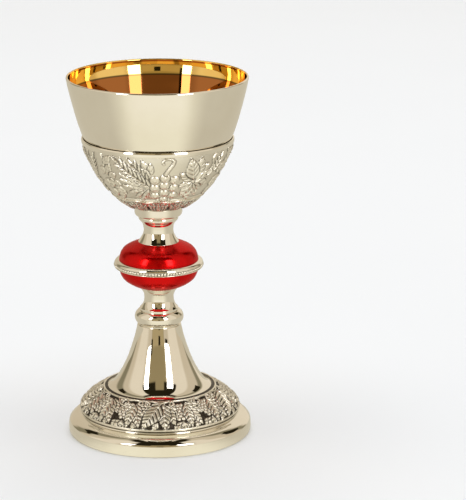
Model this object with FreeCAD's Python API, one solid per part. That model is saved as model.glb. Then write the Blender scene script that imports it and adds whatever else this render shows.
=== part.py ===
import FreeCAD, Part
import math
import os

os.makedirs("parts", exist_ok=True)

# A chalice, 213 mm tall. The origin is the centre of the standing face and +Z is up.
# All sizes are in millimetres.

# ---- overall sizes ----
HEIGHT = 213.0
RIM_RADIUS = 52.5
FOOT_RADIUS = 53.8
SHEET = 1.2                 # wall of the spun and cast shells
CUP_WALL = 1.0

# ---- heights of the joints between the pieces, from the standing face up ----
BASE_TOP = 11.7             # foot base meets the relief ring
CONE_FOOT = 27.0            # cone goes under the relief ring
CONE_TOP = 65.0
COLLAR_TOP = 73.6
LOWER_NECK_TOP = 88.0
BAND_BOTTOM = 99.8
BAND_TOP = 104.4
UPPER_NECK_FOOT = 115.0
STEM_TOP = 130.9            # the calyx collar rests here
CALYX_FLOOR = 136.1         # underside of the calyx shell
CALYX_LIP_FOOT = 174.5
CALYX_LIP_TOP = 177.3
CUP_FLOOR = 145.4           # underside of the bowl

# ---- screw between the cup and the stem, and the bolt through the stem ----
THREAD_RADIUS = 4.0         # M8
THREAD_BORE = 4.05          # tapped holes
CLEARANCE_BORE = 4.4
STUD_END = 118.5
BOLT_TOP = 117.5
BOLT_END = 49.5
NUT_ACROSS_FLATS = 13.0
GAP = 0.1                   # play between the cup, the calyx and the stem


def edge_through(points):
    """An edge through (radius, height) points: two give a line, three an arc, more a smooth curve."""
    places = [FreeCAD.Vector(r, 0, z) for r, z in points]
    if len(places) == 2:
        return Part.makeLine(*places)
    if len(places) == 3:
        return Part.Arc(*places).toShape()
    curve = Part.BSplineCurve()
    curve.interpolate(places)
    return curve.toShape()


def turned(*runs):
    """Spin a closed half-section about the axis. Runs that don't meet are joined by straight edges."""
    edges = []
    for index, run in enumerate(runs):
        following = runs[(index + 1) % len(runs)][0]
        edges.append(edge_through(run))
        if run[-1] != following:
            edges.append(edge_through([run[-1], following]))
    face = Part.Face(Part.Wire(edges))
    return face.revolve(FreeCAD.Vector(0, 0, 0), FreeCAD.Vector(0, 0, 1), 360)


def box_run(*corners):
    """Straight runs through the given corners, for the square parts of a section."""
    return [[start, end] for start, end in zip(corners, corners[1:])]


def inside(points, wall):
    """The curve inside one that rises up a side, at the wall's thickness from it, running down."""
    curve = Part.BSplineCurve()
    curve.interpolate([FreeCAD.Vector(r, 0, z) for r, z in points])
    offset = []
    for r, z in points:
        at = curve.parameter(FreeCAD.Vector(r, 0, z))
        along = curve.tangent(at)[0]
        offset.append((r - along.z * wall, z + along.x * wall))
    return offset[::-1]


def tube(inner, outer, bottom, top):
    """A plain ring with a square section."""
    return turned(*box_run((inner, bottom), (outer, bottom), (outer, top), (inner, top)))


def rod(radius, bottom, top, chamfer):
    """A round bar with both ends chamfered."""
    waist = radius - chamfer
    return turned(*box_run(
        (0, bottom), (waist, bottom), (radius, bottom + chamfer),
        (radius, top - chamfer), (waist, top), (0, top)))


def hex_nut(bottom, top):
    """An M8 nut with its corners turned off and the ends of its thread countersunk."""
    corner = NUT_ACROSS_FLATS / 2 / math.cos(math.radians(30))
    corners = []
    for step in range(7):
        turn = math.radians(60 * step)
        corners.append(FreeCAD.Vector(corner * math.cos(turn), corner * math.sin(turn), bottom))
    prism = Part.Face(Part.makePolygon(corners)).extrude(FreeCAD.Vector(0, 0, top - bottom))
    flat = NUT_ACROSS_FLATS / 2 - 0.1
    drop = (corner - flat) * math.tan(math.radians(30))
    envelope = turned(*box_run(
        (0, bottom), (flat, bottom), (corner, bottom + drop),
        (corner, top - drop), (flat, top), (0, top)))
    sink = 0.4
    hole = turned(*box_run(
        (0, bottom - 1), (THREAD_BORE + sink + 1, bottom - 1), (THREAD_BORE, bottom + sink),
        (THREAD_BORE, top - sink), (THREAD_BORE + sink + 1, top + 1), (0, top + 1)))
    return prism.common(envelope).cut(hole)


# ---- the cup ----

def cup_bowl():
    """A spun bowl with a nearly straight wall, a rounded lip and a flat spot for the boss."""
    outer = [
        (9.5, CUP_FLOOR), (14.0, 145.6), (20.0, 146.8), (26.6, 150.1), (32.4, 155.8), (36.7, 163.2),
        (40.3, 171.2), (43.3, 178.4), (45.9, 185.7), (48.3, 194.1), (50.4, 202.3),
        (51.9, 208.9), (RIM_RADIUS, HEIGHT - 0.9)]
    inner = inside(outer, CUP_WALL)
    lip = [outer[-1], (52.35, HEIGHT - 0.25), (51.95, HEIGHT)]
    lip_flat = (51.55, HEIGHT)
    lip_inside = [lip_flat, (51.3, HEIGHT - 0.25), (51.2, HEIGHT - 0.9)]
    inner[0] = lip_inside[-1]
    floor = inner[-1][1]
    return turned([(0, CUP_FLOOR), outer[0]], outer, lip, lip_inside, inner, [inner[-1], (0, floor)])


def cup_boss():
    """A stepped boss, brazed under the bowl. The calyx hangs between its foot and the thin nut."""
    foot = CALYX_FLOOR + SHEET + GAP
    return turned(*box_run(
        (THREAD_RADIUS, foot), (6.6, foot), (7.0, foot + 0.4), (7.0, 142.0), (9.0, 143.0),
        (9.5, 143.5), (9.5, CUP_FLOOR), (THREAD_RADIUS, CUP_FLOOR)))


def cup_stud():
    """The M8 stud, screwed and brazed into the boss."""
    return rod(THREAD_RADIUS, STUD_END, CUP_FLOOR, 0.8)


def calyx_nut():
    """A thin nut on the stud, up inside the calyx collar."""
    top = CALYX_FLOOR - GAP
    return hex_nut(top - 4.0, top).cut(rod(THREAD_RADIUS, STUD_END, CUP_FLOOR, 0.8))


# ---- the calyx, or false cup ----

CALYX_SIDE = [
    (14.0, CALYX_FLOOR), (18.4, 138.5), (22.4, 141.3), (26.9, 145.5), (31.5, 150.6),
    (35.3, 156.0), (38.6, 162.0), (41.0, 167.0), (42.6, 171.4), (43.2, CALYX_LIP_FOOT)]


def calyx_shell():
    """The ground that carries the relief, with a flat floor for the stud to pass through."""
    inner = inside(CALYX_SIDE, SHEET)
    inner[0] = (inner[0][0], CALYX_LIP_FOOT)
    inner[-1] = (inner[-1][0], CALYX_FLOOR + SHEET)
    return turned(
        [(CLEARANCE_BORE, CALYX_FLOOR), CALYX_SIDE[0]], CALYX_SIDE, inner,
        [inner[-1], (CLEARANCE_BORE, CALYX_FLOOR + SHEET)])


def calyx_rim_ring():
    """A polished band with softened edges, soldered on the shell's top edge."""
    return turned(
        [(42.3, CALYX_LIP_FOOT), (43.9, CALYX_LIP_FOOT)],
        [(43.9, CALYX_LIP_FOOT), (44.2, 175.9), (44.0, CALYX_LIP_TOP)],
        [(44.0, CALYX_LIP_TOP), (43.3, CALYX_LIP_TOP)],
        [(43.3, CALYX_LIP_TOP), (42.3, CALYX_LIP_FOOT)])


def calyx_leaf_ring():
    """A cast ring of pointed leaves that clasps the foot of the shell."""
    face = [(15.0, CALYX_FLOOR - 0.1), (19.2, 138.1), (23.3, 141.0), (27.6, 145.1)]
    blank = turned(face, *box_run(face[-1], (25.0, 146.0), (14.0, 138.0), (14.0, CALYX_FLOOR - 0.1)))
    core = turned([(0, CALYX_FLOOR), CALYX_SIDE[0]], CALYX_SIDE, [CALYX_SIDE[-1], (0, CALYX_LIP_FOOT)])
    return blank.cut(core)


def calyx_collar():
    """A turned ring with a rounded edge. Its pocket hides the thin nut."""
    foot = STEM_TOP + GAP
    pocket = 8.2
    return turned(
        [(pocket, foot), (13.0, foot)],
        [(13.0, foot), (13.6, foot + 0.7), (13.9, 133.6), (13.9, 135.0)],
        [(13.9, 135.0), (13.9, CALYX_FLOOR)],
        [(13.9, CALYX_FLOOR), (pocket, CALYX_FLOOR)])


# ---- the stem ----

FLANGE_RADIUS = 8.4
FLANGE_FOOT = STEM_TOP - 1.6
BUSH_RADIUS = 6.0
BUSH_END = 107.0


def cup_socket():
    """A flanged bush. The cup's stud screws in from above and the tie bolt from below."""
    return turned(*box_run(
        (THREAD_BORE, BUSH_END), (BUSH_RADIUS - 0.4, BUSH_END), (BUSH_RADIUS, BUSH_END + 0.4),
        (BUSH_RADIUS, FLANGE_FOOT), (FLANGE_RADIUS, FLANGE_FOOT), (FLANGE_RADIUS, STEM_TOP),
        (THREAD_BORE + 0.5, STEM_TOP), (THREAD_BORE, STEM_TOP - 0.5)))


def upper_neck():
    """A waisted neck with a rounded ring at the top, let out for the bush's flange."""
    ring = [(10.9, 127.9), (11.4, 128.6), (11.4, 130.2), (11.0, STEM_TOP)]
    waist = [
        (11.9, UPPER_NECK_FOOT), (10.9, 116.4), (9.7, 118.3), (8.8, 120.6), (8.65, 122.6),
        (8.9, 124.7), (9.7, 126.6), (10.9, 127.9)]
    return turned(
        [(BUSH_RADIUS, UPPER_NECK_FOOT), waist[0]], waist, ring,
        [ring[-1], (FLANGE_RADIUS, STEM_TOP)], [(FLANGE_RADIUS, STEM_TOP), (FLANGE_RADIUS, FLANGE_FOOT)],
        [(FLANGE_RADIUS, FLANGE_FOOT), (BUSH_RADIUS, FLANGE_FOOT)])


def knot_upper_shell():
    """The upper dome, closed at the top where the neck stands on it."""
    dome = [
        (23.2, BAND_TOP), (22.8, 106.5), (22.0, 108.7), (20.4, 110.8), (17.8, 112.5),
        (14.6, 113.9), (11.9, UPPER_NECK_FOOT)]
    vault = [(10.8, UPPER_NECK_FOOT - 1.6)] + inside(dome, SHEET)[1:-1] + [(21.9, BAND_TOP)]
    bore = BUSH_RADIUS + GAP
    return turned(
        dome, [dome[-1], (bore, UPPER_NECK_FOOT)],
        [(bore, UPPER_NECK_FOOT), (bore, UPPER_NECK_FOOT - 1.6)],
        [(bore, UPPER_NECK_FOOT - 1.6), vault[0]], vault)


def knot_lower_shell():
    """The lower dome, a little shallower at its foot than the upper one."""
    dome = [
        (12.0, LOWER_NECK_TOP), (15.2, 89.3), (18.0, 90.9), (20.6, 92.9), (22.2, 95.4),
        (23.0, 98.0), (23.2, BAND_BOTTOM)]
    vault = [(21.9, BAND_BOTTOM)] + inside(dome, SHEET)[1:-1] + [(10.9, LOWER_NECK_TOP + 1.6)]
    return turned(
        [(CLEARANCE_BORE, LOWER_NECK_TOP), dome[0]], dome,
        vault, [vault[-1], (CLEARANCE_BORE, LOWER_NECK_TOP + 1.6)])


def knot_band():
    """The band round the knot: a rounded shoulder, the line of its pearls and a narrow lower lip."""
    shoulder = [(23.4, BAND_TOP), (25.2, 103.8), (26.0, 102.5)]
    pearls = [shoulder[-1], (26.15, 101.6), (25.95, 100.8)]
    lip = [pearls[-1], (25.7, 100.2), (25.1, BAND_BOTTOM)]
    return turned(
        [(21.6, BAND_BOTTOM), (21.6, BAND_TOP)], [(21.6, BAND_TOP), shoulder[0]],
        shoulder, pearls, lip)


def knot_spacer():
    """The tube inside the knot that takes the pull of the bolt."""
    return tube(6.3, 8.6, LOWER_NECK_TOP + 1.6, UPPER_NECK_FOOT - 1.6)


def lower_neck():
    """A waisted neck, a little wider at its foot, where a small step meets the collar."""
    waist = [
        (11.3, 75.0), (10.2, 76.2), (9.1, 78.2), (8.6, 80.6), (8.6, 82.4), (9.3, 84.6),
        (10.6, 86.5), (12.0, LOWER_NECK_TOP)]
    return turned(
        [(CLEARANCE_BORE, COLLAR_TOP), (11.3, COLLAR_TOP)], [(11.3, COLLAR_TOP), (11.3, 75.0)],
        waist, [waist[-1], (CLEARANCE_BORE, LOWER_NECK_TOP)])


def foot_collar():
    """A ring with a full round edge between the neck and the cone."""
    return turned(
        [(CLEARANCE_BORE, CONE_TOP), (12.2, CONE_TOP)],
        [(12.2, CONE_TOP), (12.2, 65.8)],
        [(12.2, 65.8), (13.6, 67.1), (14.3, 69.4), (13.7, 71.9), (12.2, COLLAR_TOP)],
        [(12.2, COLLAR_TOP), (CLEARANCE_BORE, COLLAR_TOP)])


# ---- the foot ----

CONE_SIDE = [
    (31.6, CONE_FOOT), (28.6, 28.6), (25.0, 32.5), (22.0, 37.6), (19.7, 42.3), (17.7, 47.4),
    (15.9, 52.8), (14.3, 58.2), (12.8, CONE_TOP)]


def foot_cone():
    """A spun cone that flares into the foot. Its flat top is clamped by the bolt."""
    wall = inside(CONE_SIDE, SHEET)
    wall[0] = (wall[0][0], CONE_TOP - SHEET)
    return turned(
        CONE_SIDE, [CONE_SIDE[-1], (CLEARANCE_BORE, CONE_TOP)],
        [(CLEARANCE_BORE, CONE_TOP), (CLEARANCE_BORE, CONE_TOP - SHEET)],
        [(CLEARANCE_BORE, CONE_TOP - SHEET), wall[0]], wall)


RELIEF_SIDE = [
    (47.0, 13.2), (47.1, 15.2), (46.1, 17.5), (43.9, 20.1), (40.6, 22.6), (36.3, 25.5), (32.9, 27.6), (30.9, 28.4)]


def foot_relief_ring():
    """The cast ring of grapes and leaves. It stands proud of the cone and of the base."""
    under = [(31.6, CONE_FOOT), (35.4, 24.7), (39.5, 21.6), (42.7, 18.6), (44.2, 15.4), (44.6, BASE_TOP)]
    return turned(
        [(44.6, BASE_TOP), (46.2, BASE_TOP)], [(46.2, BASE_TOP), (46.2, 13.0)], [(46.2, 13.0), RELIEF_SIDE[0]],
        RELIEF_SIDE, [RELIEF_SIDE[-1], (30.5, 27.9)], [(30.5, 27.9), under[0]], under)


def foot_bead_ring():
    """A fine round wire soldered under the relief."""
    wire = 0.5
    return Part.makeTorus(46.75, wire, FreeCAD.Vector(0, 0, 12.35))


def foot_base():
    """The plain foot: a broad low shoulder that rolls over to an upright side.

    Its edge is turned in to a flat ring that the chalice stands on."""
    edge = [(52.2, 0.0), (53.3, 0.45), (FOOT_RADIUS - 0.1, 1.6)]
    side = [
        edge[-1], (FOOT_RADIUS, 3.2), (FOOT_RADIUS, 4.4), (53.72, 5.4), (53.62, 6.4), (53.42, 7.1),
        (53.1, 7.6), (52.6, 8.1), (51.95, 8.7), (51.1, 9.3), (50.3, 9.8), (49.3, 10.2), (47.9, 10.6),
        (47.1, 11.0), (46.6, 11.4), (46.2, BASE_TOP)]
    under = [
        (44.4, 10.75), (46.4, 10.2), (48.2, 9.65), (49.8, 9.15), (51.1, 8.4), (52.0, 7.2), (52.4, 5.8),
        (52.5, 4.4), (52.5, 3.0)]
    turn_in = [under[-1], (52.0, 1.8), (50.8, 1.4)]
    return turned(
        [(49.4, 0.0), edge[0]], edge, side, [side[-1], (44.4, BASE_TOP)],
        [(44.4, BASE_TOP), under[0]], under, turn_in, [turn_in[-1], (49.4, 1.4)])


def tie_bolt():
    """The rod that holds the stem and the foot together."""
    return rod(THREAD_RADIUS, BOLT_END, BOLT_TOP, 0.8)


def clamp_washer():
    """A plain washer under the cone's flat top."""
    top = CONE_TOP - SHEET
    return tube(4.2, 8.0, top - 1.6, top)


def lock_washer():
    """A spring washer, pressed flat, with its slit."""
    top = CONE_TOP - SHEET - 1.6
    slit = Part.makeBox(6.0, 0.8, 4.0, FreeCAD.Vector(3.0, -0.4, top - 3.0))
    return tube(4.1, 7.4, top - 2.0, top).cut(slit)


def clamp_nut():
    """The M8 nut that pulls the whole stem together."""
    top = CONE_TOP - SHEET - 3.6
    return hex_nut(top - 6.5, top)


NODES = [
    cup_bowl, cup_boss, cup_stud, calyx_nut,
    calyx_shell, calyx_rim_ring, calyx_leaf_ring, calyx_collar,
    cup_socket, upper_neck, knot_upper_shell, knot_band, knot_lower_shell, knot_spacer,
    lower_neck, foot_collar, foot_cone, foot_relief_ring, foot_bead_ring, foot_base,
    tie_bolt, clamp_washer, lock_washer, clamp_nut]

for build in NODES:
    solid = build()
    solid.exportStep("parts/" + build.__name__ + ".step")
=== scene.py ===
import math

import bpy
import numpy as np
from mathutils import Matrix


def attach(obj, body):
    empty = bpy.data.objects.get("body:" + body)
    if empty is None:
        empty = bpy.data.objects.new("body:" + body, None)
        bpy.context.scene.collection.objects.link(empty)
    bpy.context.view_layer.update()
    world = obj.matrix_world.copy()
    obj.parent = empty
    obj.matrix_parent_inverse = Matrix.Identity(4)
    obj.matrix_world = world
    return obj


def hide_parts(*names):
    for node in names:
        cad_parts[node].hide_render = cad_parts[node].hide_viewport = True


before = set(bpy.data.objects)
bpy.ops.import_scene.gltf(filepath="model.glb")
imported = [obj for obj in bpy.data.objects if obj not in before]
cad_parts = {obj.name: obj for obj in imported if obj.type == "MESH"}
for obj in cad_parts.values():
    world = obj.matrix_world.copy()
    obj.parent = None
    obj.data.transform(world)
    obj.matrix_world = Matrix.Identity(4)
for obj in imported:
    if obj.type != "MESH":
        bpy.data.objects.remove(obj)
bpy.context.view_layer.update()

# A chalice: a gilt-lined cup in an embossed calyx, a stem with a red enamelled knot, and an embossed foot.
# Sections and ornament are in millimetres, as (radius, height) above the table. Blender's units are metres.
MM = 0.001

# ---- sizes that several pieces share ----
HEIGHT = 213.0
RIM_RADIUS = 52.5
FOOT_RADIUS = 53.8
SHEET = 1.2
CUP_WALL = 1.0
BASE_TOP = 11.7
CONE_FOOT = 27.0
CONE_TOP = 65.0
COLLAR_TOP = 73.6
LOWER_NECK_TOP = 88.0
BAND_BOTTOM = 99.8
BAND_TOP = 104.4
UPPER_NECK_FOOT = 115.0
STEM_TOP = 130.9
CALYX_FLOOR = 136.1
CALYX_LIP_FOOT = 174.5
CALYX_LIP_TOP = 177.3
CUP_FLOOR = 145.4
GILT_LINE = 204.0  # where the bright gilt under the lip ends
BORE = 4.4
BUSH_RADIUS = 6.0
THREAD_RADIUS = 4.0
THREAD_PITCH = 1.25
SEAT_DEPTH = 1.6  # how deep the bush is let into the neck
KNOT_WALL = 1.6  # height of the knot shells' plain edges at the necks
SHELL_EDGE = (21.6, 142.2)  # where the calyx's embossed side ends on the inside
LIP_DROP = 0.9  # how far the cup's rounded lip reaches down its sides

# ---- points round a turned piece ----
AROUND = 256
AROUND_WIDE = 288


# ---------------------------------------------------------------------------
# Sections and turned pieces
# ---------------------------------------------------------------------------

def spline(points, step):
    """Points about a step apart on a smooth curve through the given ones."""
    p = np.array(points, float)
    last = len(p) - 1
    t = np.concatenate([[0], np.cumsum(np.linalg.norm(np.diff(p, axis=0), axis=1))])
    h = np.diff(t)
    system = np.zeros((last + 1, last + 1))
    pull = np.zeros((last + 1, 2))
    system[0, 0] = 1
    system[last, last] = 1
    for i in range(1, last):
        system[i, i - 1:i + 2] = h[i - 1], 2 * (h[i - 1] + h[i]), h[i]
        pull[i] = 6 * ((p[i + 1] - p[i]) / h[i] - (p[i] - p[i - 1]) / h[i - 1])
    bend = np.linalg.solve(system, pull)
    at = np.linspace(0, t[-1], max(3, int(round(t[-1] / step)) + 1))
    k = np.clip(np.searchsorted(t, at, side="right") - 1, 0, last - 1)
    width = h[k][:, None]
    a = (t[k + 1] - at)[:, None] / width
    b = (at - t[k])[:, None] / width
    return a * p[k] + b * p[k + 1] + ((a**3 - a) * bend[k] + (b**3 - b) * bend[k + 1]) * width**2 / 6


def arc(points, step):
    """Points about a step apart on the arc through three points."""
    (ax, ay), (bx, by), (cx, cy) = points
    d = 2 * (ax * (by - cy) + bx * (cy - ay) + cx * (ay - by))
    a2, b2, c2 = ax * ax + ay * ay, bx * bx + by * by, cx * cx + cy * cy
    ox = (a2 * (by - cy) + b2 * (cy - ay) + c2 * (ay - by)) / d
    oy = (a2 * (cx - bx) + b2 * (ax - cx) + c2 * (bx - ax)) / d
    angles = np.unwrap([math.atan2(y - oy, x - ox) for x, y in points])
    radius = math.hypot(ax - ox, ay - oy)
    count = max(5, int(round(radius * abs(angles[2] - angles[0]) / step)) + 1)
    turn = np.linspace(angles[0], angles[2], count)
    return np.stack([ox + radius * np.cos(turn), oy + radius * np.sin(turn)], axis=1)


def run(points, step=0.7):
    """Two points give a line, three an arc, more a smooth curve."""
    if len(points) == 2:
        p = np.array(points, float)
        count = max(2, int(np.linalg.norm(p[1] - p[0]) / step) + 2)
        return p[0] + (p[1] - p[0]) * np.linspace(0, 1, count)[:, None]
    return arc(points, step) if len(points) == 3 else spline(points, step)


def eased(before, corner, after, ease):
    """The corner point, or a small round in its place where the section turns sharply."""
    back, ahead = before - corner, after - corner
    long_back, long_ahead = np.linalg.norm(back), np.linalg.norm(ahead)
    straight = -np.dot(back, ahead) / (long_back * long_ahead)
    if straight > 0.97:
        return [corner]
    reach = min(ease, 0.45 * long_back, 0.45 * long_ahead)
    start, end = back / long_back * reach, ahead / long_ahead * reach
    return [corner + (1 - t)**2 * start + t * t * end for t in np.linspace(0, 1, 6)]


def section(*runs, step=0.7, ease=0.14):
    """A closed half-section with eased corners.

    A section that starts and ends on the axis stays open there."""
    parts = []
    on_axis = runs[0][0][0] == 0 and runs[-1][-1][0] == 0
    for index, points in enumerate(runs):
        parts.append(run(points, step))
        following = np.array(runs[(index + 1) % len(runs)][0], float)
        gap = np.linalg.norm(following - parts[-1][-1])
        if gap > 1e-6 and not (on_axis and index == len(runs) - 1):
            parts.append(run([tuple(parts[-1][-1]), tuple(following)], step))
    outline = []
    for index, part in enumerate(parts):
        if on_axis and index == 0:
            outline.append(part[0])
        else:
            outline.extend(eased(parts[index - 1][-2], part[0], part[1], ease))
        outline.extend(part[1:-1])
    if on_axis:
        outline.append(parts[-1][-1])
    return np.array(outline)


def beside(points, wall):
    """The curve inside one that rises up a side, at the wall's thickness from it, running down."""
    p = np.array(points, float)
    fine = spline(points, 0.1)
    nearest = [int(np.argmin(np.linalg.norm(fine - q, axis=1))) for q in p]
    slope = np.gradient(fine, axis=0)[nearest]
    slope /= np.linalg.norm(slope, axis=1)[:, None]
    moved = np.stack([p[:, 0] - slope[:, 1] * wall, p[:, 1] + slope[:, 0] * wall], axis=1)
    return [tuple(q) for q in moved[::-1]]


def mesh_object(name, vertices, faces):
    """A smooth-shaded mesh object from arrays in metres."""
    mesh = bpy.data.meshes.new(name)
    mesh.from_pydata(vertices.tolist(), [], faces)
    mesh.update()
    mesh.polygons.foreach_set("use_smooth", [True] * len(mesh.polygons))
    piece = bpy.data.objects.new(name, mesh)
    bpy.context.scene.collection.objects.link(piece)
    return piece


def mark(piece, name, values):
    """A number on each vertex, for the material to read."""
    layer = piece.data.attributes.new(name, "FLOAT", "POINT")
    layer.data.foreach_set("value", np.asarray(values, np.float32))


def bands(rows, around, closed):
    """Faces between rows of points round the axis. If closed, the last row is joined to the first."""
    faces = []
    for i in range(rows if closed else rows - 1):
        low, up = i * around, (i + 1) % rows * around
        for j in range(around):
            k = (j + 1) % around
            faces.append((low + j, low + k, up + k, up + j))
    return faces


def caps(rows, around):
    """Fans from two poles, which follow the rows, to the first row and the last."""
    first, last = rows * around, rows * around + 1
    top = (rows - 1) * around
    faces = []
    for j in range(around):
        k = (j + 1) % around
        faces += [(first, k, j), (last, top + j, top + k)]
    return faces


def turned(name, outline, around=AROUND):
    """Spin a half-section, taken anticlockwise, about the axis."""
    r, z = outline[:, 0], outline[:, 1]
    if np.sum(r * np.roll(z, -1) - np.roll(r, -1) * z) < 0:
        outline = outline[::-1]
    open_ended = outline[0][0] < 1e-9 and outline[-1][0] < 1e-9
    ring = outline[1:-1] if open_ended else outline
    turn = 2 * np.pi * np.arange(around) / around
    wheel = np.stack([np.cos(turn), np.sin(turn)], axis=1)
    flat = ring[:, None, :1] * wheel[None, :, :]
    high = np.broadcast_to(ring[:, None, 1:], flat.shape[:2] + (1,))
    vertices = np.concatenate([flat, high], axis=2).reshape(-1, 3) * MM
    faces = bands(len(ring), around, closed=not open_ended)
    if open_ended:
        poles = np.array([[0, 0, outline[0][1]], [0, 0, outline[-1][1]]]) * MM
        vertices = np.concatenate([vertices, poles])
        faces += caps(len(ring), around)
    return mesh_object(name, vertices, faces)


# ---------------------------------------------------------------------------
# Raised ornament
# ---------------------------------------------------------------------------

GRAIN_LEAN = math.radians(29)  # between a grain of wheat and its stalk


class Relief:
    """Heights over the side of a turned piece: one tile that repeats round it.

    A place is (degrees round from the front, height above the table)."""

    def __init__(self, side, repeats, columns, step):
        self.side = run(side, step)
        gaps = np.linalg.norm(np.diff(self.side, axis=0), axis=1)
        self.along = np.concatenate([[0], np.cumsum(gaps)])
        self.repeats = repeats
        self.span = 360 / repeats
        self.turn = ((np.arange(columns) + 0.5) / columns - 0.5) * self.span
        self.rise = np.zeros((len(self.side), columns))

    def at(self, height):
        """How far up the side, along its surface, a height is."""
        return np.interp(height, self.side[:, 1], self.along)

    def radius(self, height):
        return np.interp(height, self.side[:, 1], self.side[:, 0])

    def moved(self, place, across, up):
        """The place that is so far across and up the surface from another."""
        turn, height = place
        reached = np.interp(self.at(height) + up, self.along, self.side[:, 1])
        return turn + math.degrees(across / self.radius(height)), float(reached)

    def offsets(self, place):
        """Every point's distance across and up the surface from a place."""
        swing = (self.turn - place[0] + self.span / 2) % self.span - self.span / 2
        across = np.radians(swing)[None, :] * self.side[:, :1]
        up = np.broadcast_to(self.along[:, None] - self.at(place[1]), across.shape)
        return across, up

    def line(self, start, end):
        """Every point's share of the way from start to end and distance beside the line, and its length."""
        x, y = self.offsets(start)
        across = math.radians(end[0] - start[0]) * self.side[:, :1]
        up = self.at(end[1]) - self.at(start[1])
        length = np.hypot(across, up)
        return (x * across + y * up) / length**2, (x * up - y * across) / length, length

    def lay(self, rise, outside=None, groove=0.0):
        """Add a shape. Where it lies over others it cuts a groove into them, so wide, round its outline."""
        if outside is not None and groove:
            self.rise = self.rise * np.clip(outside / groove, 0, 1)
        self.rise = np.maximum(self.rise, rise)

    def grape(self, place, radius, rise):
        """A round grape with a small dimple where the flower was."""
        x, y = self.offsets(place)
        away = np.hypot(x, y) / radius
        ball = np.sqrt(np.clip(1 - away**2, 0, None))
        dimple = 0.16 * np.exp(-((away - 0.42) / 0.13)**2)
        self.lay(rise * np.clip(ball - dimple, 0, None), (away - 1) * radius, 0.16 * radius)

    def ridge(self, places, width, rise, taper=0.0, groove=0.0):
        """A raised round line through the places, which may grow thinner towards its end."""
        path = run(places, 2.0)
        body, outside = 0.0, np.inf
        for index, (start, end) in enumerate(zip(path, path[1:])):
            share, aside, length = self.line(start, end)
            t = np.clip(share, 0, 1)
            away = np.hypot(aside, (share - t) * length)
            thin = 1 - taper * (index + t) / (len(path) - 1)
            bulge = np.sqrt(np.clip(1 - (away / (width * thin))**2, 0, None))
            body = np.maximum(body, np.sqrt(thin) * bulge)
            outside = np.minimum(outside, away - width * thin)
        self.lay(rise * body, outside, groove)

    def leaflet(self, root, tip, width, rise, ribs, fold, groove=0.35):
        """A pointed leaf: a crowned blade with a midrib and slanting ribs, so far apart and so deep."""
        share, aside, length = self.line(root, tip)
        t = np.clip(share, 0, 1)
        half = width * np.sin(np.pi * t**0.8)**0.85
        inward = half - np.abs(aside)
        blade = (share > 0) & (share < 1) & (inward > 0)
        edge = np.clip(inward / 0.3, 0, 1)
        edge = edge * edge * (3 - 2 * edge)
        crown = 0.62 + 0.38 * np.sqrt(np.clip(inward / (half + 1e-6), 0, 1))
        rib = (0.5 + 0.5 * np.cos(2 * np.pi * (t * length - 0.9 * np.abs(aside)) / ribs))**2.5
        midrib = np.exp(-(aside / 0.3)**2)
        body = crown * (1 - fold * rib * (1 - midrib)) + 0.12 * midrib
        past_ends = np.clip(np.maximum(-share, share - 1), 0, None) * length
        beyond = np.hypot(np.clip(-inward, 0, None), past_ends)
        self.lay(np.where(blade, rise * edge * body, 0), beyond, groove)

    def wheat(self, root, tip, pairs, grain, rise):
        """An ear of wheat: a stalk, pairs of long grains that lie close along it, and one at the end."""
        self.ridge([root, tip], width=0.35, rise=rise * 0.6)
        across = math.radians(tip[0] - root[0]) * self.radius((root[1] + tip[1]) / 2)
        up = self.at(tip[1]) - self.at(root[1])
        heading = math.atan2(up, across)
        for index in range(pairs + 1):
            share = index / (pairs + 0.6)
            base = self.moved(root, across * share, up * share)
            for side in (-1, 1) if index < pairs else (0,):
                lean = heading + side * GRAIN_LEAN
                end = self.moved(base, grain * math.cos(lean), grain * math.sin(lean))
                self.leaflet(base, end, grain * 0.13, rise, ribs=grain, fold=0, groove=0.3)

    def bunch(self, place, rows, pitch, rise):
        """A hanging bunch of small grapes, row by row from the top, each row staggered on the last."""
        for index, count in enumerate(rows):
            for n in range(count):
                across = (n - (count - 1) / 2) * pitch
                spot = self.moved(place, across, -index * pitch * 0.88)
                self.grape(spot, pitch * 0.54, rise)

    def vine_leaf(self, heart, tips, breadth, rise):
        """A vine leaf: broad pointed lobes that grow from its heart and overlap, each with its own ribs."""
        for tip in tips:
            across = math.radians(tip[0] - heart[0]) * self.radius(heart[1])
            up = self.at(tip[1]) - self.at(heart[1])
            root = self.moved(heart, 0.1 * across, 0.1 * up)
            self.leaflet(root, tip, breadth * math.hypot(across, up), rise, ribs=3.2, fold=0.45, groove=0.6)
            vein = [heart, self.moved(heart, 0.8 * across, 0.8 * up)]
            self.ridge(vein, width=0.35, rise=rise * 1.1, taper=0.6)

    def hollows(self, reach):
        """How far each point lies below its surroundings."""
        soft = np.concatenate([self.rise] * 3, axis=1)
        padded = np.pad(soft, ((reach, reach), (0, 0)), mode="edge")
        soft = sum(padded[k:k + len(soft)] for k in range(2 * reach + 1)) / (2 * reach + 1)
        soft = sum(np.roll(soft, shift, axis=1) for shift in range(-reach, reach + 1)) / (2 * reach + 1)
        columns = self.rise.shape[1]
        return np.clip(soft[:, columns:2 * columns] - self.rise, 0, None)


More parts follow.
